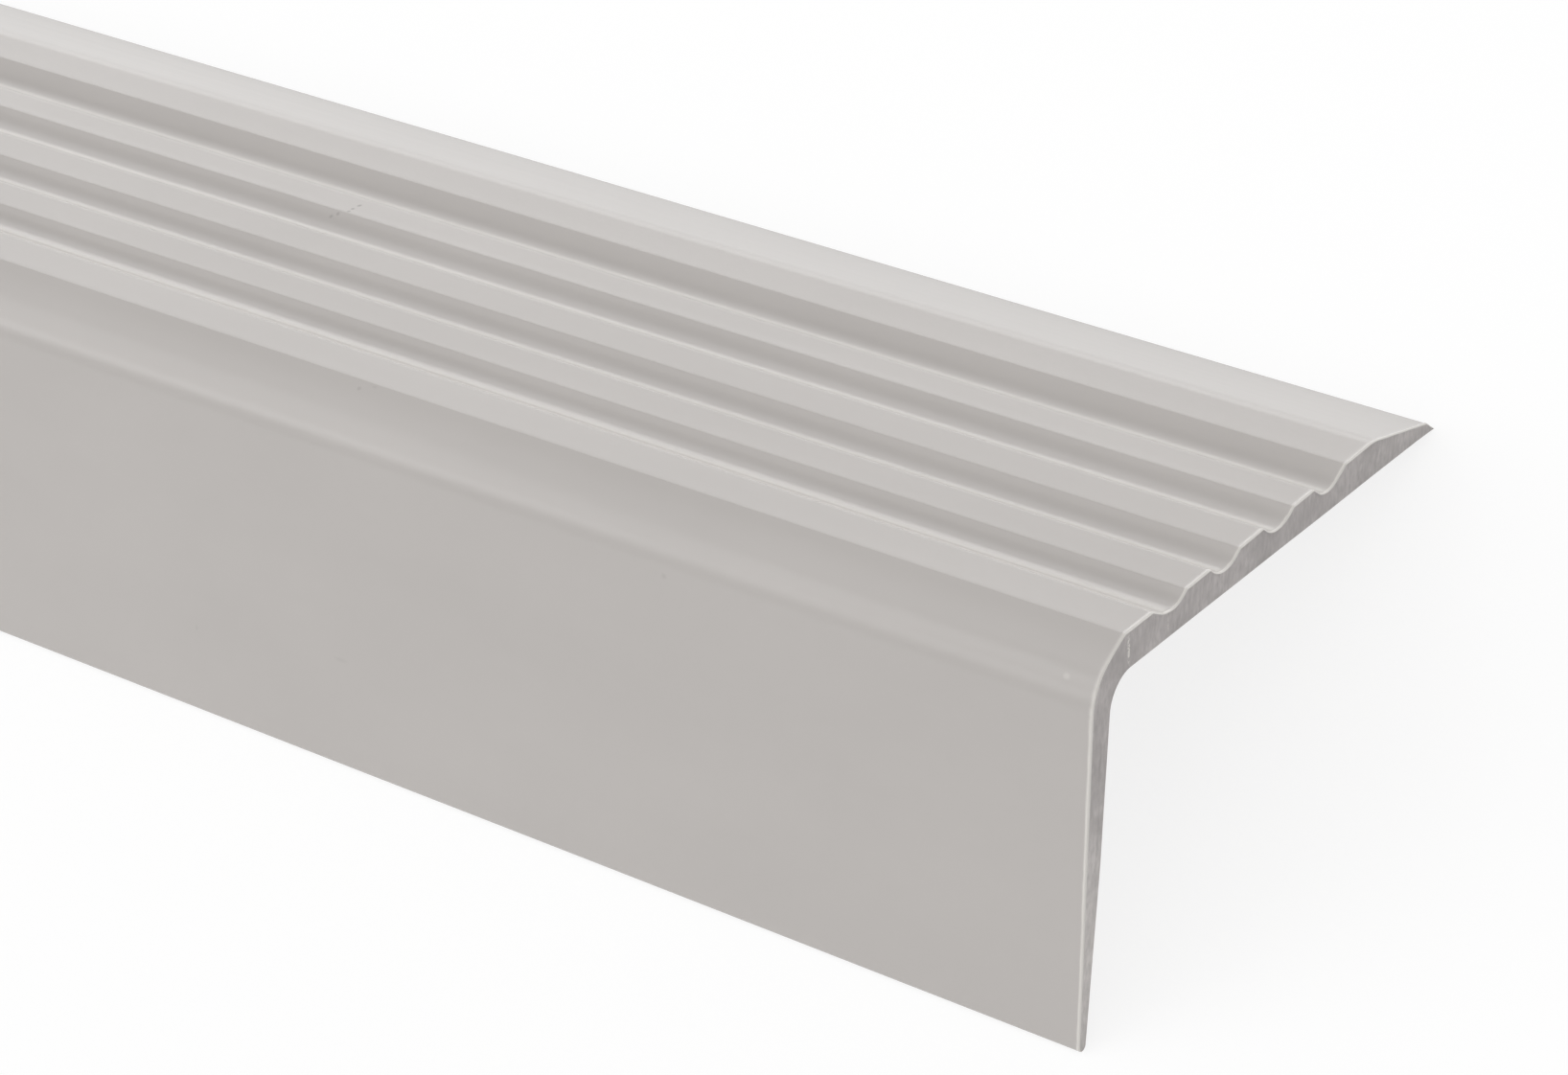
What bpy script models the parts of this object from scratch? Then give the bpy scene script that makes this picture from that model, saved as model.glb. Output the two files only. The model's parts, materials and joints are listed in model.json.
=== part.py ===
"""Stair nosing: one extruded PVC profile, cut to length.

The section is an L with unequal legs. The tread leg lies on the step and carries the anti-slip
grooves, the riser leg hangs in front of it, and a rounded nose joins them. The section is drawn
as it sits on a step, then tilted to lie as the loose strip lies on a floor: corner up, on the
tip of the riser leg and the back edge of the tread leg.

Section coordinates, in metres: "across" runs from the front face to the back of the tread leg,
"up" runs from the tread leg's underside to its top. The strip's length is along X, and the
tread leg points to +Y.
"""

import math

import bmesh
import bpy
from mathutils import Matrix, Vector

MM = 0.001

# Driving dimensions: the strip
LENGTH = 900 * MM
RISER_DROP = 29.3 * MM  # from the tread leg's underside to the tip of the riser leg

# Driving dimensions: the rounded nose, from the front face up to the first land
NOSE_RADIUS = 4.0 * MM
CROWN_RADIUS = 14.5 * MM
CROWN_START_SLOPE = math.radians(36)
CROWN_END_SLOPE = math.radians(26)

# Driving dimensions: widths of the lands and grooves, from the nose to the last groove. A groove's
# fall is the width from its front edge to its lowest line.
LAND_1_WIDTH = 3.7146 * MM
GROOVE_1_WIDTH = 4.61 * MM
GROOVE_1_FALL = 2.87 * MM
LAND_2_WIDTH = 3.28 * MM
GROOVE_2_WIDTH = 4.26 * MM
GROOVE_2_FALL = 2.26 * MM
LAND_3_WIDTH = 3.36 * MM
GROOVE_3_WIDTH = 4.44 * MM
GROOVE_3_FALL = 2.26 * MM
LAND_4_WIDTH = 3.03 * MM
GROOVE_4_WIDTH = 4.83 * MM
GROOVE_4_FALL = 2.24 * MM

# Driving dimensions: heights of the lands' edges and the grooves' lowest lines above the underside
LAND_1_FRONT_HEIGHT = 3.05 * MM
LAND_1_BACK_HEIGHT = 3.08 * MM
GROOVE_1_HEIGHT = 2.10 * MM
LAND_2_FRONT_HEIGHT = 2.82 * MM
LAND_2_BACK_HEIGHT = 2.91 * MM
GROOVE_2_HEIGHT = 1.94 * MM
LAND_3_FRONT_HEIGHT = 2.76 * MM
LAND_3_BACK_HEIGHT = 2.88 * MM
GROOVE_3_HEIGHT = 1.92 * MM
LAND_4_FRONT_HEIGHT = 2.75 * MM
LAND_4_BACK_HEIGHT = 2.82 * MM
GROOVE_4_HEIGHT = 1.80 * MM
LAND_5_FRONT_HEIGHT = 2.91 * MM
LAND_5_BACK_HEIGHT = 3.03 * MM

# Driving dimensions: slopes of the grooves' walls
GROOVE_WALL_SLOPE = math.radians(37)
GROOVE_1_FRONT_SLOPE = math.radians(28)
GROOVE_4_FRONT_SLOPE = math.radians(36)
GROOVE_4_BACK_SLOPE = math.radians(30)

# Driving dimensions: the back of the tread, from the last land down to the thin edge
LAND_5_WIDTH = 3.76 * MM
RAMP_WIDTH = 9.4 * MM
RAMP_SLOPE = math.radians(13.5)
RAMP_BLEND_RADIUS = 6.0 * MM
EDGE_BEVEL_WIDTH = 1.5 * MM
LIP_WIDTH = 3.0 * MM
LIP_DROP = 0.08 * MM  # how far the back edge stands below the underside, to press on the step

# Driving dimensions: the riser leg
WALL_THICKNESS = 2.4 * MM  # at the inside corner
TIP_THICKNESS = 0.9 * MM
INNER_FILLET_RADIUS = 2.4 * MM
RELIEF_DEPTH = 14.0 * MM  # below the underside, the inner face is square down to here
RELIEF = 0.5 * MM  # how far the inner face leans forward from there to the tip

ARC_STEP = math.radians(3)
SMOOTH_ANGLE = math.radians(8)
PVC_COLOR = (0.565, 0.545, 0.530, 1.0)
PVC_ROUGHNESS = 0.42


def arc(centre, radius, start, end):
    """Points (across, up) on a circle from angle start to angle end, both included."""
    steps = max(3, math.ceil(abs(end - start) / ARC_STEP))
    angles = [start + (end - start) * step / steps for step in range(steps + 1)]
    return [centre + radius * Vector((math.cos(angle), math.sin(angle))) for angle in angles]


def nose():
    """The front of the strip, from the top of the front face up to the crease at the first land.

    It is two arcs that share a tangent: a tight one that turns the corner, then a shallow crown.
    """
    crown_width = CROWN_RADIUS * (math.sin(CROWN_START_SLOPE) - math.sin(CROWN_END_SLOPE))
    crown_rise = CROWN_RADIUS * (math.cos(CROWN_END_SLOPE) - math.cos(CROWN_START_SLOPE))
    corner_width = NOSE_RADIUS * (1 - math.sin(CROWN_START_SLOPE))
    corner_rise = NOSE_RADIUS * math.cos(CROWN_START_SLOPE)
    corner_centre = Vector((NOSE_RADIUS, LAND_1_FRONT_HEIGHT - crown_rise - corner_rise))
    crown_centre = Vector(
        (
            corner_width + CROWN_RADIUS * math.sin(CROWN_START_SLOPE),
            LAND_1_FRONT_HEIGHT - CROWN_RADIUS * math.cos(CROWN_END_SLOPE),
        )
    )
    quarter = math.pi / 2
    corner = arc(corner_centre, NOSE_RADIUS, math.pi, quarter + CROWN_START_SLOPE)
    crown = arc(crown_centre, CROWN_RADIUS, quarter + CROWN_START_SLOPE, quarter + CROWN_END_SLOPE)
    return corner + crown[1:]


def floor_arc(lowest, edge, slope):
    """Points of a groove's floor on one side, from its lowest point to the wall that rises to edge.

    The arc is level at the lowest point, and touches the straight wall. Where the floor is too
    shallow for the wall's slope, the arc itself rises to the edge.
    """
    drop, run = edge.y - lowest.y, abs(edge.x - lowest.x)
    slope = min(slope, 2 * math.atan2(drop, run))
    radius = (run - drop / math.tan(slope)) / math.tan(slope / 2)
    down = -math.pi / 2
    end = down + math.copysign(slope, edge.x - lowest.x)
    return arc(lowest + Vector((0, radius)), radius, down, end)


def groove(before, land, fall, width, heights, slopes):
    """A land's back edge, and the groove behind it up to the front edge of the next land.

    It starts from the land's front edge. The heights are those of the land's back edge, the
    groove's lowest line and the next land's front edge. The slopes are those of the two walls.
    """
    start = before.x + land
    land_back, lowest = Vector((start, heights[0])), Vector((start + fall, heights[1]))
    land_front = Vector((start + width, heights[2]))
    floor_front = floor_arc(lowest, land_back, slopes[0])[::-1]
    floor_back = floor_arc(lowest, land_front, slopes[1])
    return [land_back] + floor_front + floor_back[1:] + [land_front]


def grooves(nose_end):
    """All the grooves, from the back edge of the first land to the front edge of the last one."""
    wall = GROOVE_WALL_SLOPE
    heights = (LAND_1_BACK_HEIGHT, GROOVE_1_HEIGHT, LAND_2_FRONT_HEIGHT)
    slopes = (GROOVE_1_FRONT_SLOPE, wall)
    points = groove(nose_end, LAND_1_WIDTH, GROOVE_1_FALL, GROOVE_1_WIDTH, heights, slopes)
    heights = (LAND_2_BACK_HEIGHT, GROOVE_2_HEIGHT, LAND_3_FRONT_HEIGHT)
    points += groove(points[-1], LAND_2_WIDTH, GROOVE_2_FALL, GROOVE_2_WIDTH, heights, (wall, wall))
    heights = (LAND_3_BACK_HEIGHT, GROOVE_3_HEIGHT, LAND_4_FRONT_HEIGHT)
    points += groove(points[-1], LAND_3_WIDTH, GROOVE_3_FALL, GROOVE_3_WIDTH, heights, (wall, wall))
    heights = (LAND_4_BACK_HEIGHT, GROOVE_4_HEIGHT, LAND_5_FRONT_HEIGHT)
    slopes = (GROOVE_4_FRONT_SLOPE, GROOVE_4_BACK_SLOPE)
    points += groove(points[-1], LAND_4_WIDTH, GROOVE_4_FALL, GROOVE_4_WIDTH, heights, slopes)
    return points


def tread_back(last_land):
    """From the last land down the ramp to the back edge, and along the lip under it."""
    ramp_start = last_land.x + LAND_5_WIDTH
    ramp_end = ramp_start + RAMP_WIDTH
    back_edge = ramp_end + EDGE_BEVEL_WIDTH
    centre = Vector((ramp_start, LAND_5_BACK_HEIGHT - RAMP_BLEND_RADIUS))
    blend = arc(centre, RAMP_BLEND_RADIUS, math.pi / 2, math.pi / 2 - RAMP_SLOPE)
    ramp_drop = (ramp_end - blend[-1].x) * math.tan(RAMP_SLOPE)
    ramp_foot = Vector((ramp_end, blend[-1].y - ramp_drop))
    edge = Vector((back_edge, -LIP_DROP))
    lip_crease = Vector((back_edge - LIP_WIDTH, 0.0))
    return blend + [ramp_foot, edge, lip_crease]


def inner_corner():
    """From the underside of the tread leg round the fillet to the inner face of the riser leg."""
    centre = Vector((WALL_THICKNESS + INNER_FILLET_RADIUS, -INNER_FILLET_RADIUS))
    return arc(centre, INNER_FILLET_RADIUS, math.pi / 2, math.pi)


def riser_tip():
    """From the place where the inner face starts to lean, round the tip, to the front face."""
    relief_start = Vector((WALL_THICKNESS, -RELIEF_DEPTH))
    radius = TIP_THICKNESS / 2
    tip_centre = Vector((WALL_THICKNESS - RELIEF - radius, -RISER_DROP + radius))
    return [relief_start] + arc(tip_centre, radius, 0.0, -math.pi)


def section():
    """The closed outline of the strip as it sits on a step, starting at the top of the front face."""
    front = nose()
    tread = grooves(front[-1])
    return front + tread + tread_back(tread[-1]) + inner_corner() + riser_tip()


def resting(outline):
    """The outline tilted to lie on its two lowest edges, with its box centred over the origin."""
    back = max(outline, key=lambda point: point.x)
    tilt = max(math.atan2(back.y - point.y, back.x - point.x) for point in outline if point.x < back.x)
    turn = Matrix.Rotation(-tilt, 2)
    turned = [turn @ point for point in outline]
    middle = (min(point.x for point in turned) + max(point.x for point in turned)) / 2
    floor = min(point.y for point in turned)
    return [point - Vector((middle, floor)) for point in turned]


def pvc():
    """Light warm grey PVC as it comes from the die, with a satin surface."""
    material = bpy.data.materials.new("pvc")
    material.use_nodes = True
    shader = material.node_tree.nodes["Principled BSDF"]
    shader.inputs["Base Color"].default_value = PVC_COLOR
    shader.inputs["Roughness"].default_value = PVC_ROUGHNESS
    shader.inputs["Metallic"].default_value = 0.0
    return material


def extrude_strip(name, outline, material):
    """The outline filled as the cut face at -X and pushed along X to the other cut face."""
    shape = bmesh.new()
    corners = [shape.verts.new((-LENGTH / 2, point.x, point.y)) for point in outline]
    cut_face = shape.faces.new(corners)
    pushed = bmesh.ops.extrude_face_region(shape, geom=[cut_face], use_keep_orig=True)
    far_corners = [item for item in pushed["geom"] if isinstance(item, bmesh.types.BMVert)]
    bmesh.ops.translate(shape, verts=far_corners, vec=(LENGTH, 0.0, 0.0))
    bmesh.ops.recalc_face_normals(shape, faces=shape.faces)
    mesh = bpy.data.meshes.new(name)
    shape.to_mesh(mesh)
    shape.free()
    mesh.materials.append(material)
    mesh.shade_smooth()
    mesh.set_sharp_from_angle(angle=SMOOTH_ANGLE)
    strip = bpy.data.objects.new(name, mesh)
    bpy.context.scene.collection.objects.link(strip)
    return strip


def main():
    for leftover in list(bpy.data.objects):
        bpy.data.objects.remove(leftover)
    extrude_strip("stair_nosing", resting(section()), pvc())


main()
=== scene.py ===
"""Looks of the stair nosing: its fine surface, its PVC, a pale floor, studio light and the camera.

The strip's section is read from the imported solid, so its sizes stay those of the CAD model.
Section points are (across, up): across runs from the front face to the back edge of the tread
leg, and up runs from that leg's underside to its top. The strip's length is along X.
"""

import json
import math

import bpy
import numpy as np
from mathutils import Matrix, Vector
from mathutils.noise import noise


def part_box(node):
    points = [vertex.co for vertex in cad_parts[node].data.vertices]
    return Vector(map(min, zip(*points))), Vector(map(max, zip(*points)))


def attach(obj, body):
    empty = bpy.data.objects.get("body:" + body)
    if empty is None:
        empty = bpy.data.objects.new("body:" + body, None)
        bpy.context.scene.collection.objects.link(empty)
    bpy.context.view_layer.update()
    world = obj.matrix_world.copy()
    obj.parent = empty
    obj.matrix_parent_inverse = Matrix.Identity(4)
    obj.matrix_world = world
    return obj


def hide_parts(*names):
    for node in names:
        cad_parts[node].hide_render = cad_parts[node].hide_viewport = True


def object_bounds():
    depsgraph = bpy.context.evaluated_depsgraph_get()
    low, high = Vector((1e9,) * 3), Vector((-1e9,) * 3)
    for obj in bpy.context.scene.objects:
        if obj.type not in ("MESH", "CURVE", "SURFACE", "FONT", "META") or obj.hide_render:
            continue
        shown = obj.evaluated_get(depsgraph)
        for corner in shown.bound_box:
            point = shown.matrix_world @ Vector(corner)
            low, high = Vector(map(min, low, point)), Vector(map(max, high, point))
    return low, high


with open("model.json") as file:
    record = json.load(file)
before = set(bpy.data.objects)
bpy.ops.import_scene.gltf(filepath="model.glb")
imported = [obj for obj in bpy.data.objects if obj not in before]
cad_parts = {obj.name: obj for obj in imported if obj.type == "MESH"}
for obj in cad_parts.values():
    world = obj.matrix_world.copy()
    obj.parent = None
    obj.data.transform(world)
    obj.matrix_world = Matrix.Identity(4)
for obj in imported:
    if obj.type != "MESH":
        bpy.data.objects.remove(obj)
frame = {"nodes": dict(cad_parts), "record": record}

MM = 0.001
NODE = "stair_nosing"
CAD_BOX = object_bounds()

# How near the strip's end a corner of the solid is that lies on the cut face
ON_END = 0.01 * MM

# The section's fine form: how its creases are rounded, and how far apart its points are
CREASE_ANGLE = math.radians(8)
SHARP_ANGLE = math.radians(60)
CREASE_RADIUS = 0.3 * MM
SHARP_RADIUS = 0.07 * MM
ROUNDED_SHARE = 0.4
CREASE_STEPS = 5
LONG_SIDE = 2.5 * MM
WIDEST_STEP = 1.3 * MM
CORNER_STEPS = 4
ON_TREAD_TOP = 0.01 * MM

# Fine raised lines beside the tread's creases
BEAD_HEIGHT = 0.012 * MM
BEAD_WIDTH = 0.13 * MM
BEAD_FROM_CREASE = 0.17 * MM

# Painted highlights: pale lines low on the walls of the grooves, each so far beyond the land in front of
# its groove
PAINTED_HIGHLIGHT_AMOUNT = 0.7
PAINTED_HIGHLIGHT_PLACES = np.linspace(-2, 2, 9)
PAINTED_HIGHLIGHT_LINES = (
    {"groove": 0, "beyond": 1.1 * MM, "width": 0.6 * MM},
    {"groove": 0, "beyond": 2.2 * MM, "width": 0.42 * MM},
    {"groove": 1, "beyond": 1.97 * MM, "width": 0.38 * MM},
    {"groove": 2, "beyond": 2.04 * MM, "width": 0.36 * MM},
    {"groove": 3, "beyond": 2.24 * MM, "width": 0.4 * MM},
)

# The form along the strip: rings close together at the cuts, and a slight waviness
STATION_STEP = 9.5 * MM
NEAR_CUT = np.array((0.0, 0.03, 0.07, 0.12, 0.17, 0.23, 0.3, 0.38, 0.5, 0.8, 1.6, 3.5)) * MM
WAVE_HEIGHT = 0.06 * MM
WAVE_LENGTH = 38 * MM
WAVE_WIDTH = 9 * MM

# A burr stands along the outer edges of the sawn ends, lower on the nose and uneven all along
BURR_HEIGHT = 0.045 * MM
BURR_FROM_CUT = 0.15 * MM
BURR_WIDTH = 0.1 * MM
BURR_CLEAR = 0.8 * MM
BURR_LOSS_ON_NOSE = 0.5
EDGE_ROUND = 0.06 * MM
NICK_SIZE = 0.5 * MM
NICK_SEED = 5.0
NICKS_IN_BURR = 0.5
NICKS_IN_WHITE = 0.25

# The saw whitened the plastic along the edges: less widely on the tread, and softly on the nose
WHITE_WIDTH = 0.27 * MM
WHITE_FADE = 0.05 * MM
WHITE_RIM = 0.05 * MM
WIDEST_RIM_SHARE = 0.2
TREAD_WHITE_SHARE = 0.75
NOSE_WHITE_FADE = 4.0
INNER_WHITE_SHARE = 0.25
NOSE_MIDDLE = np.array((2.0, 0.5)) * MM
NOSE_REACH = 4 * MM
RISER_START = -1 * MM

# The rough faces of the cuts: fine marks that run up the section, and wide ones that are round
CUT_ROWS = 10
CUT_RELIEF = 0.025 * MM
FINE_MARK_WIDTH = 0.35 * MM
FINE_MARK_HEIGHT = 1.6 * MM
WIDE_MARK_SIZE = 0.9 * MM
WIDE_MARK_SHARE = 0.6
WIDE_MARK_SEED = 7.0


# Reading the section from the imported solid


def outline_of(node):
    """The outline of the cut face at +X, as (y, z) points in order round it."""
    mesh = frame["nodes"][node].data
    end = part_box(node)[1].x
    places = {}
    uses = {}
    for polygon in mesh.polygons:
        corners = [mesh.vertices[index].co for index in polygon.vertices]
        if min(corner.x for corner in corners) < end - ON_END:
            continue
        keys = [(round(corner.y, 6), round(corner.z, 6)) for corner in corners]
        places.update(zip(keys, [(corner.y, corner.z) for corner in corners]))
        for side in zip(keys, keys[1:] + keys[:1]):
            uses[frozenset(side)] = uses.get(frozenset(side), 0) + 1
    neighbours = {}
    for side, count in uses.items():
        if count == 1:
            first, second = side
            neighbours.setdefault(first, []).append(second)
            neighbours.setdefault(second, []).append(first)
    start = min(neighbours)
    ring = [start, neighbours[start][0]]
    while ring[-1] != start:
        ring.append(next(key for key in neighbours[ring[-1]] if key != ring[-2]))
    return np.array([places[key] for key in ring[:-1]])


class Section:
    """Where the section's own axes lie while the strip rests on the floor."""

    def __init__(self, outline):
        mounts = {mount["name"]: mount for mount in frame["record"]["mounts"]}
        underside = mounts["tread_underside"]
        self.up = -np.array(underside["axis"][1:])
        self.across = np.array((self.up[1], -self.up[0]))
        self.turn = (-math.atan2(self.up[0], self.up[1]), 0.0, 0.0)
        front = min(outline @ self.across)
        height = np.array(underside["pos_m"][1:]) @ self.up
        self.low = min(outline @ self.up) - height
        self.origin = front * self.across + height * self.up

    def inward(self, points):
        """Points (y, z) of the row frame as (across, up)."""
        moved = points - self.origin
        return np.stack((moved @ self.across, moved @ self.up), axis=-1)

    def outward(self, points):
        """Points (across, up) as (y, z) of the row frame."""
        return self.origin + points[..., :1] * self.across + points[..., 1:] * self.up

    def place(self, along, across, up):
        """A point of the row frame, from distances along, across and up in metres."""
        y, z = self.outward(np.array((across, up)))
        return Vector((along, y, z))

    def direction(self, along, across, up):
        """A direction of the row frame, from its parts along, across and up."""
        y, z = across * self.across + up * self.up
        return Vector((along, y, z))


# The section's fine form: softened creases, and the outer face paired with the inner one


def turn_at(before, corner, after):
    """The angle by which the outline turns at a corner."""
    arriving, leaving = corner - before, after - corner
    sine = arriving[0] * leaving[1] - arriving[1] * leaving[0]
    return math.atan2(sine, arriving @ leaving)


def softened(ring):
    """The outline with each crease rounded, and the places where the creases were."""
    points = []
    creases = []
    for number, corner in enumerate(ring):
        before, after = ring[number - 1], ring[(number + 1) % len(ring)]
        turn = abs(turn_at(before, corner, after))
        if turn < CREASE_ANGLE:
            points.append(corner)
            continue
        creases.append(corner)
        radius = SHARP_RADIUS if turn > SHARP_ANGLE else CREASE_RADIUS
        sides = np.linalg.norm(before - corner), np.linalg.norm(after - corner)
        reach = min(radius * math.tan(turn / 2), ROUNDED_SHARE * min(sides))
        start = corner + (before - corner) / sides[0] * reach
        end = corner + (after - corner) / sides[1] * reach
        for step in np.linspace(0, 1, CREASE_STEPS + 1):
            points.append((1 - step) ** 2 * start + 2 * step * (1 - step) * corner + step**2 * end)
    return np.array(points), creases


def chains(ring):
    """The ring split at the riser's tip and the back edge, into the outer and the inner chain."""
    tip = int(np.argmin(ring[:, 1]))
    turned = np.roll(ring, -tip, axis=0)
    back = int(np.argmax(turned[:, 0]))
    one = turned[: back + 1]
    other = np.concatenate((turned[back:], turned[:1]))[::-1]
    return (one, other) if one[:, 0].min() < other[:, 0].min() else (other, one)


def lengths_along(chain):
    """How far along the chain each of its points is."""
    return np.concatenate(((0.0,), np.cumsum(np.linalg.norm(np.diff(chain, axis=0), axis=1))))


def nearest_length(chain, point):
    """How far along the chain its nearest place to a point is."""
    starts, sides = chain[:-1], np.diff(chain, axis=0)
    shares = np.clip(np.sum((point - starts) * sides, axis=1) / np.sum(sides**2, axis=1), 0, 1)
    gaps = np.linalg.norm(starts + shares[:, None] * sides - point, axis=1)
    nearest = int(np.argmin(gaps))
    return lengths_along(chain)[nearest] + shares[nearest] * np.linalg.norm(sides[nearest])


def at_lengths(chain, lengths):
    """The chain's points at these distances along it."""
    known = lengths_along(chain)
    return np.column_stack([np.interp(lengths, known, column) for column in chain.T])


def long_sides(chain):
    """The chain's long straight sides, as pairs of points."""
    sides = zip(chain, chain[1:])
    return [(start, end) for start, end in sides if np.linalg.norm(end - start) > LONG_SIDE]


def key_places(outer, inner):
    """Matching places on the two chains, between which their points are paired in proportion."""
    front, first_land = long_sides(outer)[:2]
    lean, square, underside, lip = long_sides(inner)
    share = (lean[1][1] - front[0][1]) / (front[1][1] - front[0][1])
    beside_lean = front[0] + share * (front[1] - front[0])
    tread = outer[outer[:, 0] >= first_land[0][0]]
    above_lip = np.array((lip[0][0], np.interp(lip[0][0], tread[:, 0], tread[:, 1])))
    outer_keys = (outer[0], front[0], beside_lean, front[1], first_land[0], above_lip, outer[-1])
    inner_keys = (inner[0], lean[0], lean[1], square[1], underside[0], lip[0], inner[-1])
    return (
        np.array([nearest_length(outer, key) for key in outer_keys]),
        np.array([nearest_length(inner, key) for key in inner_keys]),
    )


def graded_lengths(chain, keys):
    """Distances along the chain: its own points, the keys, and steps that are finer near corners."""
    known = np.unique(np.round(np.concatenate((lengths_along(chain), keys)), 9))
    found = [known[0]]
    for start, end in zip(known, known[1:]):
        if end - start > WIDEST_STEP / 2:
            steps = math.ceil((end - start) / WIDEST_STEP) + CORNER_STEPS
            shares = (1 - np.cos(np.pi * np.arange(1, steps) / steps)) / 2
            found.extend(start + shares * (end - start))
        found.append(end)
    return np.array(found)


def tread_creases(creases):
    """The fronts and the backs of the tread's lands, found as the creases in front of its back bevel."""
    on_top = [crease for crease in creases if crease[1] > ON_TREAD_TOP]
    on_top.sort(key=lambda crease: crease[0])
    return on_top[:-1:2], on_top[1:-1:2]


def bell(values, middle, width):
    """A smooth bump of height 1 round a middle."""
    return np.exp(-(((values - middle) / width) ** 2))


def beads(lengths, outer, land_fronts):
    """Fine raised lines that the die leaves beside the tread's creases, as heights along the chain."""
    heights = np.zeros(len(lengths))
    for number, crease in enumerate(land_fronts):
        from_crease = lengths - nearest_length(outer, crease)
        heights += BEAD_HEIGHT * bell(from_crease, BEAD_FROM_CREASE, BEAD_WIDTH)
        if number == 0:
            heights -= BEAD_HEIGHT * bell(from_crease, -BEAD_FROM_CREASE, BEAD_WIDTH)
    return heights


def painted_highlight_middles(outer, land_backs):
    """Distances along the chain of the painted highlight lines, each measured from the land in front of its
    groove.
    """
    starts = [nearest_length(outer, land_backs[line["groove"]]) for line in PAINTED_HIGHLIGHT_LINES]
    return np.array([start + line["beyond"] for start, line in zip(starts, PAINTED_HIGHLIGHT_LINES)])


def fine_section(ring):
    """The paired points of the outer and inner chain, the heights of the beads, and the painted highlight
    lines.
    """
    soft, creases = softened(ring)
    outer, inner = chains(soft)
    land_fronts, land_backs = tread_creases(creases)
    outer_keys, inner_keys = key_places(outer, inner)
    middles = painted_highlight_middles(outer, land_backs)
    widths = np.array([line["width"] for line in PAINTED_HIGHLIGHT_LINES])
    around = middles[:, None] + widths[:, None] * PAINTED_HIGHLIGHT_PLACES
    lengths = graded_lengths(outer, np.concatenate((outer_keys, around.ravel())))
    outer_points = at_lengths(outer, lengths)
    inner_points = at_lengths(inner, np.interp(lengths, outer_keys, inner_keys))
    painted_highlights = PAINTED_HIGHLIGHT_AMOUNT * bell(lengths[:, None], middles, widths).max(axis=1)
    return outer_points, inner_points, beads(lengths, outer, land_fronts), painted_highlights


# The strip's mesh


def ring_normals(ring):
    """Directions that point out of the closed outline at its points."""
    along = np.roll(ring, -1, axis=0) - np.roll(ring, 1, axis=0)
    along /= np.linalg.norm(along, axis=1)[:, None]
    normals = np.stack((along[:, 1], -along[:, 0]), axis=1)
    area = np.sum(ring[:, 0] * np.roll(ring[:, 1], -1) - np.roll(ring[:, 0], -1) * ring[:, 1])
    return normals if area > 0 else -normals


def stations(low, high):
    """Places along the strip, close together at the cuts, each with its distance from a cut."""
    reach = NEAR_CUT[-1]
    count = round((high - low - 2 * reach) / STATION_STEP)
    middle = np.linspace(low + reach, high - reach, count + 1)[1:-1]
    places = np.concatenate((low + NEAR_CUT, middle, high - NEAR_CUT[::-1]))
    return places, np.minimum(places - low, high - places)


def cut_profile(distance):
    """How far the burr stands out and the rounded rim falls back, at this distance from a cut."""
    burr = BURR_HEIGHT * bell(distance, BURR_FROM_CUT, BURR_WIDTH)
    inside = max(EDGE_ROUND - distance, 0)
    rounding = EDGE_ROUND - math.sqrt(EDGE_ROUND**2 - inside**2)
    return burr, rounding


def smooth_step(values, start, end):
    """A soft step from 0 at start to 1 at end."""
    share = np.clip((values - start) / (end - start), 0, 1)
    return share * share * (3 - 2 * share)


def noise_at(seeds):
    """The noise at each of these seeds."""
    return np.array([noise(Vector(seed)) for seed in seeds])


def with_inner(outer_values, size):
    """Values of the outer chain, and nought for the rest of a ring of this size."""
    return np.concatenate((outer_values, np.zeros(size - len(outer_values))))


def side_rings(section, outer, inner, heights, painted_highlights, box):
    """Vertices of every ring along the strip, and their whitening by the saw together with the painted
    highlight lines.
    """
    ring = np.concatenate((outer, inner[-2:0:-1]))
    size = len(ring)
    normals = ring_normals(ring)
    from_tip = lengths_along(outer)
    clear = np.clip(np.minimum(from_tip, from_tip[-1] - from_tip) / BURR_CLEAR, 0, 1)
    on_nose = np.exp(-np.sum(((ring - NOSE_MIDDLE) / NOSE_REACH) ** 2, axis=1))
    beaded, painted_highlight_ring = with_inner(heights, size), with_inner(painted_highlights, size)
    burred = with_inner(clear, size) * (1 - BURR_LOSS_ON_NOSE * on_nose)
    width = WHITE_WIDTH * np.where(ring[:, 1] < RISER_START, 1.0, TREAD_WHITE_SHARE)
    fade = WHITE_FADE * (1 + NOSE_WHITE_FADE * on_nose)
    amount = np.where(np.arange(size) < len(outer), 1.0, INNER_WHITE_SHARE)
    rings, whitening_and_highlight = [], []
    for place, distance in zip(*stations(box[0].x, box[1].x)):
        waves = noise_at([(place / WAVE_LENGTH, *(point / WAVE_WIDTH)) for point in ring])
        nicks = noise_at([(*(point / NICK_SIZE), math.copysign(NICK_SEED, place)) for point in ring])
        burr, rounding = cut_profile(distance)
        offsets = beaded - rounding + WAVE_HEIGHT * (waves - 1) / 2
        offsets += burr * burred * (1 + NICKS_IN_BURR * nicks)
        yz = section.outward(ring + offsets[:, None] * normals)
        rings.append(np.column_stack((np.full(size, place), yz)))
        edge = width * (1 + NICKS_IN_WHITE * nicks)
        pale = 1 - smooth_step(distance, edge - fade, edge + fade)
        # The pale lines in the grooves are painted highlights, kept in the same attribute as the saw's
        # whitening.
        whitening_and_highlight.append(np.maximum(amount * pale, painted_highlight_ring))
    return rings, whitening_and_highlight


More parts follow.
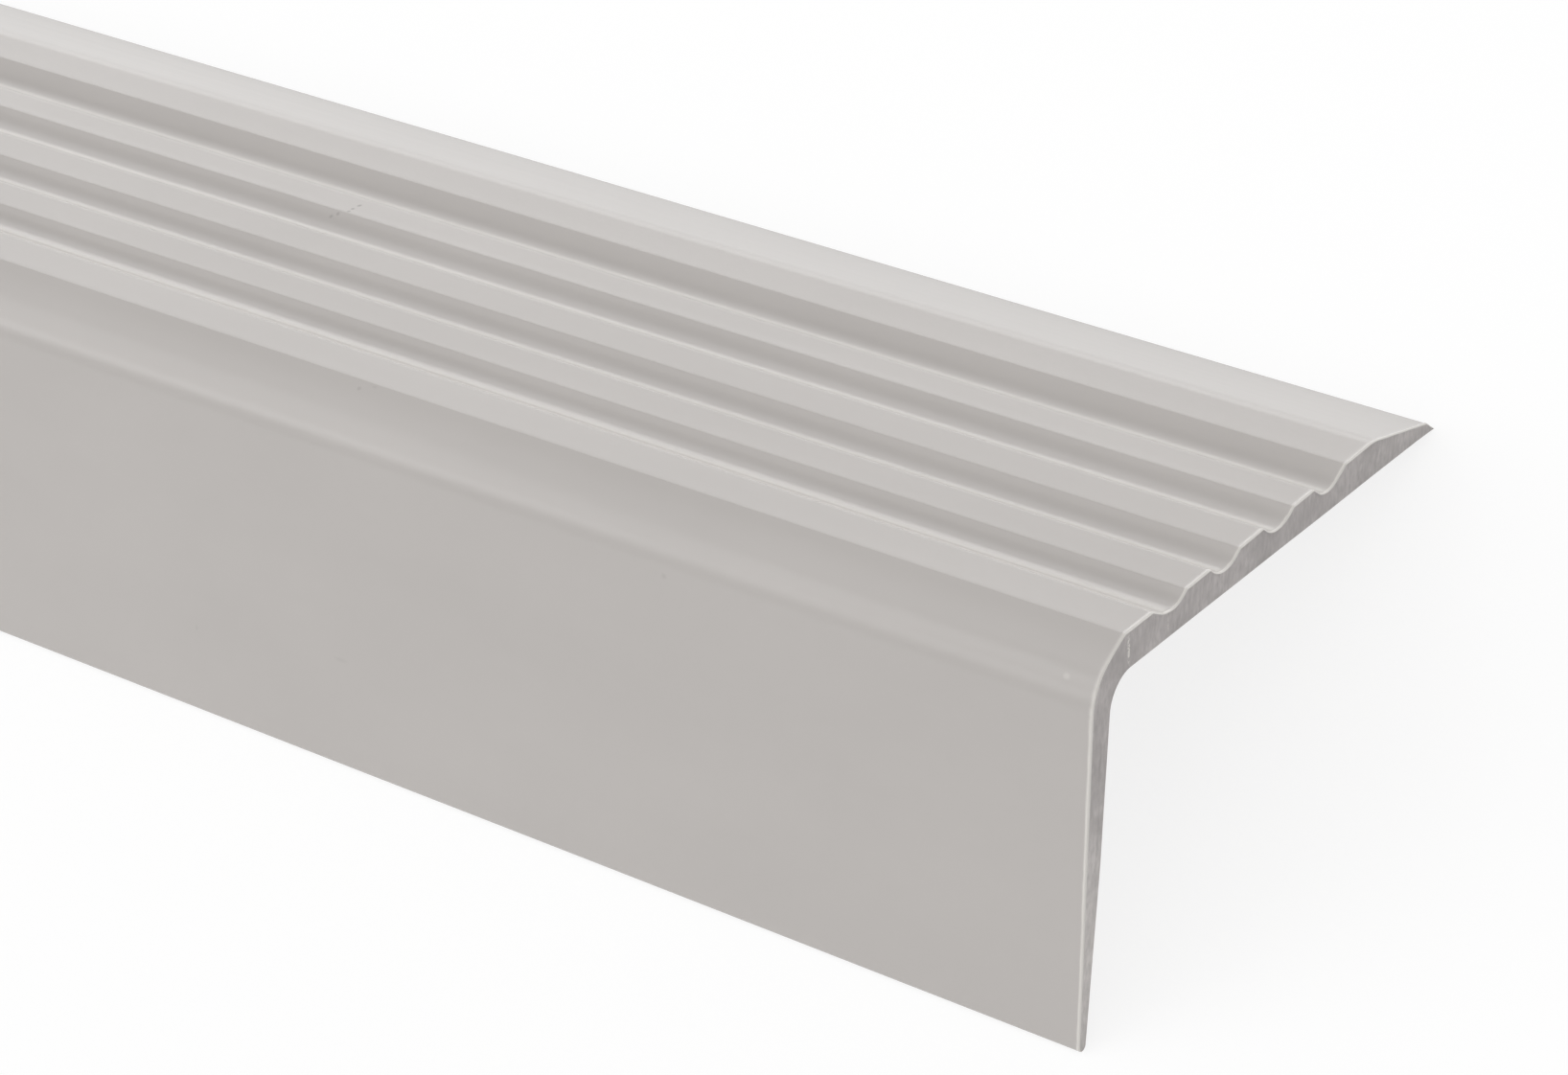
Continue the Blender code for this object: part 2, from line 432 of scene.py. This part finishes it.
def cut_face_rows(ring_points, outer_count):
    """Rows of points across a cut face, between the outer and the inner part of its rim."""
    rim_outer = ring_points[1 : outer_count - 1]
    rim_inner = ring_points[: outer_count - 1 : -1]
    thickness = np.linalg.norm(rim_inner - rim_outer, axis=1)
    rim = np.minimum(WHITE_RIM / thickness, WIDEST_RIM_SHARE)
    rows = []
    for share in np.linspace(0, 1, CUT_ROWS - 1):
        blend = rim + share * (1 - 2 * rim)
        rows.append(rim_outer + blend[:, None] * (rim_inner - rim_outer))
    return rows


def roughened(section, points, side):
    """A row of the cut face pushed in along X by the saw's marks."""
    flat = section.inward(points[:, 1:])
    fine = noise_at([(across / FINE_MARK_WIDTH, up / FINE_MARK_HEIGHT, side) for across, up in flat])
    wide = noise_at([(*(point / WIDE_MARK_SIZE), WIDE_MARK_SEED + side) for point in flat])
    pushed = points.copy()
    pushed[:, 0] -= side * CUT_RELIEF * (1 + fine + WIDE_MARK_SHARE * wide)
    return pushed


def grid_faces(first, second, flip):
    """Quads between two rows of vertex numbers of the same length."""
    quads = zip(first, first[1:], second[1:], second)
    return [quad[::-1] if flip else quad for quad in quads]


def side_faces(ring_count, size):
    """The faces of the strip's sides, between each ring of this size and the next."""
    faces = []
    for number in range(ring_count - 1):
        loop = [number * size + step for step in range(size)] + [number * size]
        faces += grid_faces(loop, [index + size for index in loop], flip=True)
    return faces


def cut_faces(rim, inside, outer_count, flip):
    """The faces of a cut, from the outer part of its rim over the rows inside it to the inner part."""
    rows = [rim[1 : outer_count - 1], *inside, rim[: outer_count - 1 : -1]]
    tip, back = rim[0], rim[outer_count - 1]
    faces = []
    for first, second in zip(rows, rows[1:]):
        faces += grid_faces(first, second, flip)
        ends = (tip, first[0], second[0]), (back, second[-1], first[-1])
        faces += [end[::-1] if flip else end for end in ends]
    return faces


def strip_mesh(section, ring):
    """The whole strip as one closed mesh: its sides, then a cut face at each end."""
    outer, inner, heights, painted_highlights = fine_section(ring)
    rings, whitening_and_highlight = side_rings(section, outer, inner, heights, painted_highlights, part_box(NODE))
    size = len(rings[0])
    points, pale = list(rings), list(whitening_and_highlight)
    faces = side_faces(len(rings), size)
    side_count = len(faces)
    total = len(rings) * size
    for number, side in ((0, -1.0), (len(rings) - 1, 1.0)):
        inside = []
        for row in cut_face_rows(rings[number], len(outer)):
            points.append(roughened(section, row, side))
            pale.append(np.zeros(len(row)))
            inside.append(list(range(total, total + len(row))))
            total += len(row)
        rim = [number * size + step for step in range(size)]
        faces += cut_faces(rim, inside, len(outer), flip=side > 0)
    mesh = bpy.data.meshes.new("nosing_strip")
    mesh.from_pydata(np.concatenate(points).tolist(), [], faces)
    white = mesh.attributes.new("whitening_and_highlight", "FLOAT", "POINT")
    white.data.foreach_set("value", np.concatenate(pale).astype(np.float32))
    is_cut = np.arange(len(faces)) >= side_count
    mesh.polygons.foreach_set("material_index", is_cut.astype(np.int32))
    mesh.shade_smooth()
    mesh.update()
    return mesh


def make_strip(section, ring):
    """The strip as the render shows it, in place of the plain solid."""
    mesh = strip_mesh(section, ring)
    strip = bpy.data.objects.new("nosing_strip", mesh)
    bpy.context.scene.collection.objects.link(strip)
    mesh.materials.append(skin_material(section))
    mesh.materials.append(cut_material(section))
    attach(strip, "root")
    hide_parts(NODE)
    return strip


# Materials

PVC_COLOR = (0.580, 0.550, 0.528, 1.0)
PALE_COLOR = (0.80, 0.77, 0.73, 1.0)
# The cut's colour is a little darker than the skin's, partly as painted shade on the sawn end
CUT_COLOR = (0.505, 0.474, 0.465, 1.0)
# Painted light: the lighter colour the cut takes low on the riser and towards the back edge
PAINTED_LIGHT_CUT_COLOR = (0.69, 0.655, 0.635, 1.0)
# Dark colour for the real specks and streaks, and for the painted shade along the riser's tip
DIRT_AND_SHADE_COLOR = (0.20, 0.18, 0.17, 1.0)

# The range of values that noise fills, and that two noises multiplied fill
NOISE_RANGE = {"start": 0.3, "end": 0.7}
PRODUCT_RANGE = {"start": 0.12, "end": 0.38}

# The skin: its noises, with the sizes of their features along, across and up, and what they change
SKIN_BLOTCHES = {"sizes": (16 * MM, 9 * MM, 9 * MM), "detail": 3.0}
SKIN_STREAKS = {"sizes": (90 * MM, 0.5 * MM, 0.5 * MM), "detail": 2.0}
SKIN_GRAIN = {"sizes": (0.5 * MM, 0.4 * MM, 0.4 * MM), "detail": 3.0}
SKIN_DARKEST = 0.985
SKIN_LIGHTEST = 1.015
SKIN_SMOOTHEST = 0.235
SKIN_ROUGHEST = 0.265
GRAIN_HEIGHT = 0.004 * MM

# The cut, likewise
CUT_MOTTLE = {"sizes": (2 * MM, 0.4 * MM, 0.9 * MM), "detail": 4.0}
CUT_BLOTCHES = {"sizes": (3 * MM, 4 * MM, 3 * MM), "detail": 2.0}
CUT_LINES = {"sizes": (2 * MM, 0.1 * MM, 1.8 * MM), "detail": 3.0}
CUT_FLECKS = {"sizes": (2 * MM, 0.25 * MM, 0.25 * MM), "detail": 1.0}
CUT_DARKEST = 0.85
CUT_LIGHTEST = 1.15
CUT_ROUGHNESS = 0.75
CUT_LINE_HEIGHT = 0.04 * MM
FLECK_RANGE = {"start": 0.4, "end": 0.55}

# The cut is lighter low on the riser and towards the back edge, which is painted light, and a dark line
# along the riser's tip is painted shade
RISER_PAINTED_LIGHT = {"start": -7 * MM, "end": -19 * MM}
BACK_PAINTED_LIGHT = {"start": 38 * MM, "end": 48 * MM}
BACK_PAINTED_LIGHT_AMOUNT = 0.35
TIP_SHADE_WIDTH = 0.25 * MM
TIP_PAINTED_SHADE = 0.2

# Marks in the skin and the cut, in millimetres: each has its middle as the distance from the cut, across
# and up, its half sizes in the same order, and how far it takes the colour to dirt or to pale plastic
SPECKS = {
    "speck_on_crown": ((65.2, 3.1, 2.7), (0.2, 0.2, 0.2), 0.2),
    "speck_by_crown": ((64.1, 3.6, 2.9), (0.25, 0.12, 0.2), 0.1),
    "speck_on_front": ((35.2, 0.03, -2.2), (0.25, 0.3, 0.25), 0.12),
    "first_dot": ((87.5, 26.9, 2.35), (0.17, 0.2, 0.2), 0.3),
    "second_dot": ((87.05, 27.25, 2.55), (0.17, 0.2, 0.2), 0.3),
    "third_dot": ((86.4, 27.85, 2.75), (0.17, 0.2, 0.3), 0.45),
    "fourth_dot": ((86.45, 28.4, 2.75), (0.17, 0.2, 0.3), 0.5),
    "fifth_dot": ((86.4, 29.2, 2.77), (0.17, 0.25, 0.3), 0.5),
    "front_streak": ((65.7, 0.65, -19.5), (0.7, 0.4, 0.2), 0.07),
    "left_streak": ((80.3, 0.7, -21.5), (0.15, 0.4, 0.3), 0.08),
}
RUBS = {"rub_on_nose": ((2.5, 0.5, 0.5), (0.3, 0.3, 0.25), 0.35)}
SCRATCHES = {
    "long_scratch": ((0.0, 4.4, 1.6), (1.0, 0.2, 1.35), 1.0),
    "short_scratch": ((0.0, 9.75, 1.3), (1.0, 0.12, 0.8), 0.3),
}
SCRATCH_LEAN = math.radians(6.4)
CUT_STREAKS = {
    "upper_streak": ((0.0, 1.4, -5.6), (1.0, 0.14, 2.2), 0.25),
    "lower_streak": ((0.0, 1.7, -12.0), (1.0, 0.1, 4.0), 0.15),
}

# Where a mark begins to fade and where it ends, in half sizes from its middle
MARK_EDGE = {"start": 0.4, "end": 1.2}


def add_node(tree, kind, settings=None, **inputs):
    """A node of this kind, with its settings and the values of its inputs."""
    made = tree.nodes.new(kind)
    for name, value in (settings or {}).items():
        setattr(made, name, value)
    for name, value in inputs.items():
        made.inputs[name.replace("_", " ")].default_value = value
    return made


def mapped(tree, place, **inputs):
    """Object coordinates taken into a space that is moved, turned and scaled."""
    mapping = add_node(tree, "ShaderNodeMapping", {"vector_type": "TEXTURE"}, **inputs)
    tree.links.new(place.outputs["Object"], mapping.inputs["Vector"])
    return mapping.outputs["Vector"]


def sized_noise(tree, place, section, sizes, detail):
    """Noise whose features have these sizes along, across and up the strip."""
    vector = mapped(tree, place, Rotation=section.turn, Scale=sizes)
    texture = add_node(tree, "ShaderNodeTexNoise", Scale=1.0, Detail=detail)
    tree.links.new(vector, texture.inputs["Vector"])
    return texture.outputs["Fac"]


def ranged(tree, value, low, high, start, end):
    """A value taken from the range from start to end to that from low to high."""
    spread = add_node(tree, "ShaderNodeMapRange", From_Min=start, From_Max=end, To_Min=low, To_Max=high)
    tree.links.new(value, spread.inputs["Value"])
    return spread.outputs["Result"]


def combined(tree, operation, first, second):
    """Two values made into one by the named operation."""
    both = add_node(tree, "ShaderNodeMath", {"operation": operation})
    tree.links.new(first, both.inputs[0])
    tree.links.new(second, both.inputs[1])
    return both.outputs["Value"]


def section_place(tree, place, section):
    """Where a point of the surface is across and up the section, in metres."""
    vector = mapped(tree, place, Location=section.place(0, 0, 0), Rotation=section.turn)
    parts = tree.nodes.new("ShaderNodeSeparateXYZ")
    tree.links.new(vector, parts.inputs["Vector"])
    return parts.outputs["Y"], parts.outputs["Z"]


def marks(tree, place, section, listed, lean=0.0):
    """How strongly each place is marked: full in the middle of a mark, and fading at its edge."""
    total = None
    for (from_cut, across, up), sizes, amount in listed.values():
        middle = section.place(CAD_BOX[1].x - from_cut * MM, across * MM, up * MM)
        turn = (section.turn[0] + lean, 0.0, 0.0)
        vector = mapped(tree, place, Location=middle, Rotation=turn, Scale=[size * MM for size in sizes])
        distance = add_node(tree, "ShaderNodeVectorMath", {"operation": "LENGTH"})
        tree.links.new(vector, distance.inputs[0])
        mark = ranged(tree, distance.outputs["Value"], amount, 0.0, **MARK_EDGE)
        total = mark if total is None else combined(tree, "MAXIMUM", total, mark)
    return total


def blend_colors(tree, factor, first, second):
    """A colour between two, which are colours or outputs of nodes."""
    mix = add_node(tree, "ShaderNodeMix", {"data_type": "RGBA"})
    tree.links.new(factor, mix.inputs["Factor"])
    for slot, value in (("A", first), ("B", second)):
        socket = next(item for item in mix.inputs if item.name == slot and item.type == "RGBA")
        if isinstance(value, tuple):
            socket.default_value = value
        else:
            tree.links.new(value, socket)
    return next(item for item in mix.outputs if item.type == "RGBA")


def scaled_color(tree, color, factor):
    """A node's colour made lighter or darker by a node's value."""
    scaled = add_node(tree, "ShaderNodeVectorMath", {"operation": "SCALE"})
    tree.links.new(color, scaled.inputs[0])
    tree.links.new(factor, scaled.inputs["Scale"])
    return scaled.outputs["Vector"]


def times(color, factor):
    """A colour made lighter or darker."""
    return (color[0] * factor, color[1] * factor, color[2] * factor, 1.0)


def new_material(name):
    """An empty Principled material, with its tree, shader and object coordinates."""
    material = bpy.data.materials.new(name)
    material.use_nodes = True
    tree = material.node_tree
    shader = tree.nodes["Principled BSDF"]
    place = tree.nodes.new("ShaderNodeTexCoord")
    return material, tree, shader, place


def add_bump(tree, shader, height, distance):
    """Fine relief of the given height in metres."""
    bump = add_node(tree, "ShaderNodeBump", Distance=distance)
    tree.links.new(height, bump.inputs["Height"])
    tree.links.new(bump.outputs["Normal"], shader.inputs["Normal"])


def whitening_and_highlight_of(tree):
    """The mesh's own measure of how far the saw whitened the plastic, together with the pale lines in the
    grooves that are painted highlights.
    """
    attribute = add_node(tree, "ShaderNodeAttribute", {"attribute_name": "whitening_and_highlight"})
    return attribute.outputs["Fac"]


def skin_material(section):
    """Satin PVC as it comes from the die, with faint draw lines, a few specks, and whitened at the cuts;
    the pale lines in the grooves are painted highlights, and a dark line along the riser's tip is painted
    shade.
    """
    material, tree, shader, place = new_material("pvc_skin")
    blotches = sized_noise(tree, place, section, **SKIN_BLOTCHES)
    streaks = sized_noise(tree, place, section, **SKIN_STREAKS)
    grain = sized_noise(tree, place, section, **SKIN_GRAIN)
    darkest, lightest = times(PVC_COLOR, SKIN_DARKEST), times(PVC_COLOR, SKIN_LIGHTEST)
    tone = blend_colors(tree, ranged(tree, blotches, 0.0, 1.0, **NOISE_RANGE), darkest, lightest)
    up = section_place(tree, place, section)[1]
    # Painted shade: a dark line along the lowest edge of the riser's tip
    painted_tip_shade = ranged(tree, up, TIP_PAINTED_SHADE, 0.0, start=section.low, end=section.low + TIP_SHADE_WIDTH)
    dirt_and_shade = combined(tree, "MAXIMUM", marks(tree, place, section, SPECKS), painted_tip_shade)
    dirtied_and_shaded = blend_colors(tree, dirt_and_shade, tone, DIRT_AND_SHADE_COLOR)
    rubbed = blend_colors(tree, marks(tree, place, section, RUBS), dirtied_and_shaded, PALE_COLOR)
    # The attribute carries the saw's whitening and the painted highlight lines in the grooves.
    color = blend_colors(tree, whitening_and_highlight_of(tree), rubbed, PALE_COLOR)
    tree.links.new(color, shader.inputs["Base Color"])
    roughness = ranged(tree, streaks, SKIN_SMOOTHEST, SKIN_ROUGHEST, **NOISE_RANGE)
    tree.links.new(roughness, shader.inputs["Roughness"])
    add_bump(tree, shader, grain, GRAIN_HEIGHT)
    return material


def cut_material(section):
    """Sawn PVC: rough, a little darker, partly as painted shade, mottled and scratched by the saw, and
    lighter low on the riser and towards the back edge as painted light.
    """
    material, tree, shader, place = new_material("pvc_cut")
    mottle = sized_noise(tree, place, section, **CUT_MOTTLE)
    blotches = sized_noise(tree, place, section, **CUT_BLOTCHES)
    lines = sized_noise(tree, place, section, **CUT_LINES)
    flecks = sized_noise(tree, place, section, **CUT_FLECKS)
    across, up = section_place(tree, place, section)
    # Painted light: the cut's colour goes lighter low on the riser and towards the back edge
    riser_light_paint = ranged(tree, up, 0.0, 1.0, **RISER_PAINTED_LIGHT)
    back_light_paint = ranged(tree, across, 0.0, BACK_PAINTED_LIGHT_AMOUNT, **BACK_PAINTED_LIGHT)
    light_paint = combined(tree, "MAXIMUM", riser_light_paint, back_light_paint)
    base = blend_colors(tree, light_paint, CUT_COLOR, PAINTED_LIGHT_CUT_COLOR)
    product = combined(tree, "MULTIPLY", mottle, blotches)
    tone = scaled_color(tree, base, ranged(tree, product, CUT_DARKEST, CUT_LIGHTEST, **PRODUCT_RANGE))
    streaked = blend_colors(tree, marks(tree, place, section, CUT_STREAKS), tone, DIRT_AND_SHADE_COLOR)
    dots = ranged(tree, flecks, 0.0, 1.0, **FLECK_RANGE)
    scratched = combined(tree, "MULTIPLY", marks(tree, place, section, SCRATCHES, SCRATCH_LEAN), dots)
    pale = blend_colors(tree, scratched, streaked, PALE_COLOR)
    color = blend_colors(tree, whitening_and_highlight_of(tree), pale, PALE_COLOR)
    tree.links.new(color, shader.inputs["Base Color"])
    shader.inputs["Roughness"].default_value = CUT_ROUGHNESS
    add_bump(tree, shader, lines, CUT_LINE_HEIGHT)
    return material


# The floor, the light and the camera

FLOOR_WIDTH = 12.0
FLOOR_COLOR = (0.9, 0.9, 0.9, 1.0)
FLOOR_SHOWN_COLOR = (0.22, 0.22, 0.22, 1.0)
FLOOR_GLOW = 0.82
WORLD_STRENGTH = 0.44

# Soft boxes round the strip, with their lean and turn in degrees, sizes in metres and power in watts
LIGHT_DISTANCE = 1.6
LIGHTS = {
    "behind": {"lean": -72, "turn": 0, "long": 3.0, "high": 0.8, "power": 5.9},
    "above": {"lean": -10, "turn": 0, "long": 3.0, "high": 0.8, "power": 5.0},
    "beside_camera": {"lean": 30, "turn": -30, "long": 1.2, "high": 1.3, "power": 7.0},
    "in_front": {"lean": 55, "turn": 0, "long": 3.0, "high": 0.5, "power": 5.4},
}

# Lit cards that lie on the floor behind the strip, where its ramp and its grooves' walls mirror them
CARD_LENGTH = 3.0
CARD_LIFT = 1 * MM
CARDS = {
    "near_card": {"start": 29 * MM, "width": 21 * MM, "power": 0.04},
    "middle_card": {"start": 50 * MM, "width": 70 * MM, "power": 0.73},
    "far_card": {"start": 120 * MM, "width": 180 * MM, "power": 3.4},
}


def make_floor():
    """A pale floor that looks white to the camera and in reflections, and keeps the strip's shadow."""
    half = FLOOR_WIDTH / 2
    corners = [(-half, -half, 0), (half, -half, 0), (half, half, 0), (-half, half, 0)]
    mesh = bpy.data.meshes.new("floor")
    mesh.from_pydata(corners, [], [(0, 1, 2, 3)])
    floor = bpy.data.objects.new("floor", mesh)
    bpy.context.scene.collection.objects.link(floor)
    mesh.materials.append(floor_material())


def seen_directly(tree):
    """One for the rays that come from the camera or from a reflection, and nought for the others."""
    rays = tree.nodes.new("ShaderNodeLightPath")
    total = rays.outputs["Is Camera Ray"]
    for name in ("Is Glossy Ray", "Is Transmission Ray"):
        total = combined(tree, "MAXIMUM", total, rays.outputs[name])
    return total


def floor_material():
    """Matt and pale, with a glow of its own where it is seen, which keeps the background white."""
    material = bpy.data.materials.new("pale_floor")
    material.use_nodes = True
    tree = material.node_tree
    tree.nodes.remove(tree.nodes["Principled BSDF"])
    lit = add_node(tree, "ShaderNodeBsdfDiffuse", Color=FLOOR_COLOR)
    shown = add_node(tree, "ShaderNodeBsdfDiffuse", Color=FLOOR_SHOWN_COLOR)
    glow = add_node(tree, "ShaderNodeEmission", Strength=FLOOR_GLOW)
    together = tree.nodes.new("ShaderNodeAddShader")
    chosen = tree.nodes.new("ShaderNodeMixShader")
    tree.links.new(shown.outputs["BSDF"], together.inputs[0])
    tree.links.new(glow.outputs["Emission"], together.inputs[1])
    tree.links.new(seen_directly(tree), chosen.inputs["Fac"])
    tree.links.new(lit.outputs["BSDF"], chosen.inputs[1])
    tree.links.new(together.outputs["Shader"], chosen.inputs[2])
    tree.links.new(chosen.outputs["Shader"], tree.nodes["Material Output"].inputs["Surface"])
    return material


def make_world():
    """A world that lights the strip softly, and that looks white to the camera above the floor."""
    world = bpy.data.worlds.new("studio")
    bpy.context.scene.world = world
    world.use_nodes = True
    tree = world.node_tree
    background = tree.nodes["Background"]
    background.inputs["Color"].default_value = (1, 1, 1, 1)
    rays = tree.nodes.new("ShaderNodeLightPath")
    strength = ranged(tree, rays.outputs["Is Camera Ray"], WORLD_STRENGTH, 1.0, start=0.0, end=1.0)
    tree.links.new(strength, background.inputs["Strength"])


def make_lights():
    """A soft world, soft boxes at one distance from the strip's middle, and cards behind it."""
    make_world()
    for name, box in LIGHTS.items():
        lean, turn = math.radians(box["lean"]), math.radians(box["turn"])
        toward = Vector((math.sin(turn), -math.cos(turn) * math.sin(lean), math.cos(turn) * math.cos(lean)))
        light = soft_box(name, box["long"], box["high"], box["power"])
        light.location = LIGHT_DISTANCE * toward
        light.rotation_euler = toward.to_track_quat("Z", "Y").to_euler()
    for name, card in CARDS.items():
        light = soft_box(name, CARD_LENGTH, card["width"], card["power"])
        light.location = (0, card["start"] + card["width"] / 2, CARD_LIFT)
        light.rotation_euler = (math.pi, 0, 0)


def soft_box(name, long, high, power):
    """A rectangular lamp that faces down until it is turned, and that the camera doesn't see."""
    lamp = bpy.data.lights.new(name, "AREA")
    lamp.shape = "RECTANGLE"
    lamp.size = long
    lamp.size_y = high
    lamp.energy = power
    light = bpy.data.objects.new(name, lamp)
    light.visible_camera = False
    bpy.context.scene.collection.objects.link(light)
    return light


# The photograph's camera, placed from the cut end of the strip
FRAME_WIDTH = 1636
FOCAL_PIXELS = 4550
SENSOR_WIDTH = 36.0
CLIP_START = 10 * MM
CAMERA_BEYOND_END = 122.02 * MM
CAMERA_IN_FRONT = 220.91 * MM
CAMERA_ABOVE = 144.34 * MM
CAMERA_RIGHT = (0.82639, 0.56275, 0.01984)
CAMERA_DOWN = (0.27752, -0.37637, -0.88393)


def make_camera(section):
    """The camera stands where the photograph's did, in front of the cut end and above it."""
    end = CAD_BOX[1].x
    place = section.place(end + CAMERA_BEYOND_END, -CAMERA_IN_FRONT, CAMERA_ABOVE)
    right = section.direction(*CAMERA_RIGHT)
    down = section.direction(*CAMERA_DOWN)
    forward = right.cross(down)
    lens = bpy.data.cameras.new("camera")
    lens.sensor_width = SENSOR_WIDTH
    lens.lens = SENSOR_WIDTH * FOCAL_PIXELS / FRAME_WIDTH
    lens.clip_start = CLIP_START
    camera = bpy.data.objects.new("camera", lens)
    bpy.context.scene.collection.objects.link(camera)
    axes = Matrix((right.normalized(), -down.normalized(), -forward.normalized())).transposed()
    camera.matrix_world = Matrix.Translation(place) @ axes.to_4x4()
    bpy.context.scene.camera = camera


def main():
    """The strip with its looks, on its floor, in its light and before its camera."""
    outline = outline_of(NODE)
    section = Section(outline)
    make_camera(section)
    make_strip(section, section.inward(outline))
    make_floor()
    make_lights()
    bpy.context.scene.view_settings.view_transform = "Standard"


main()
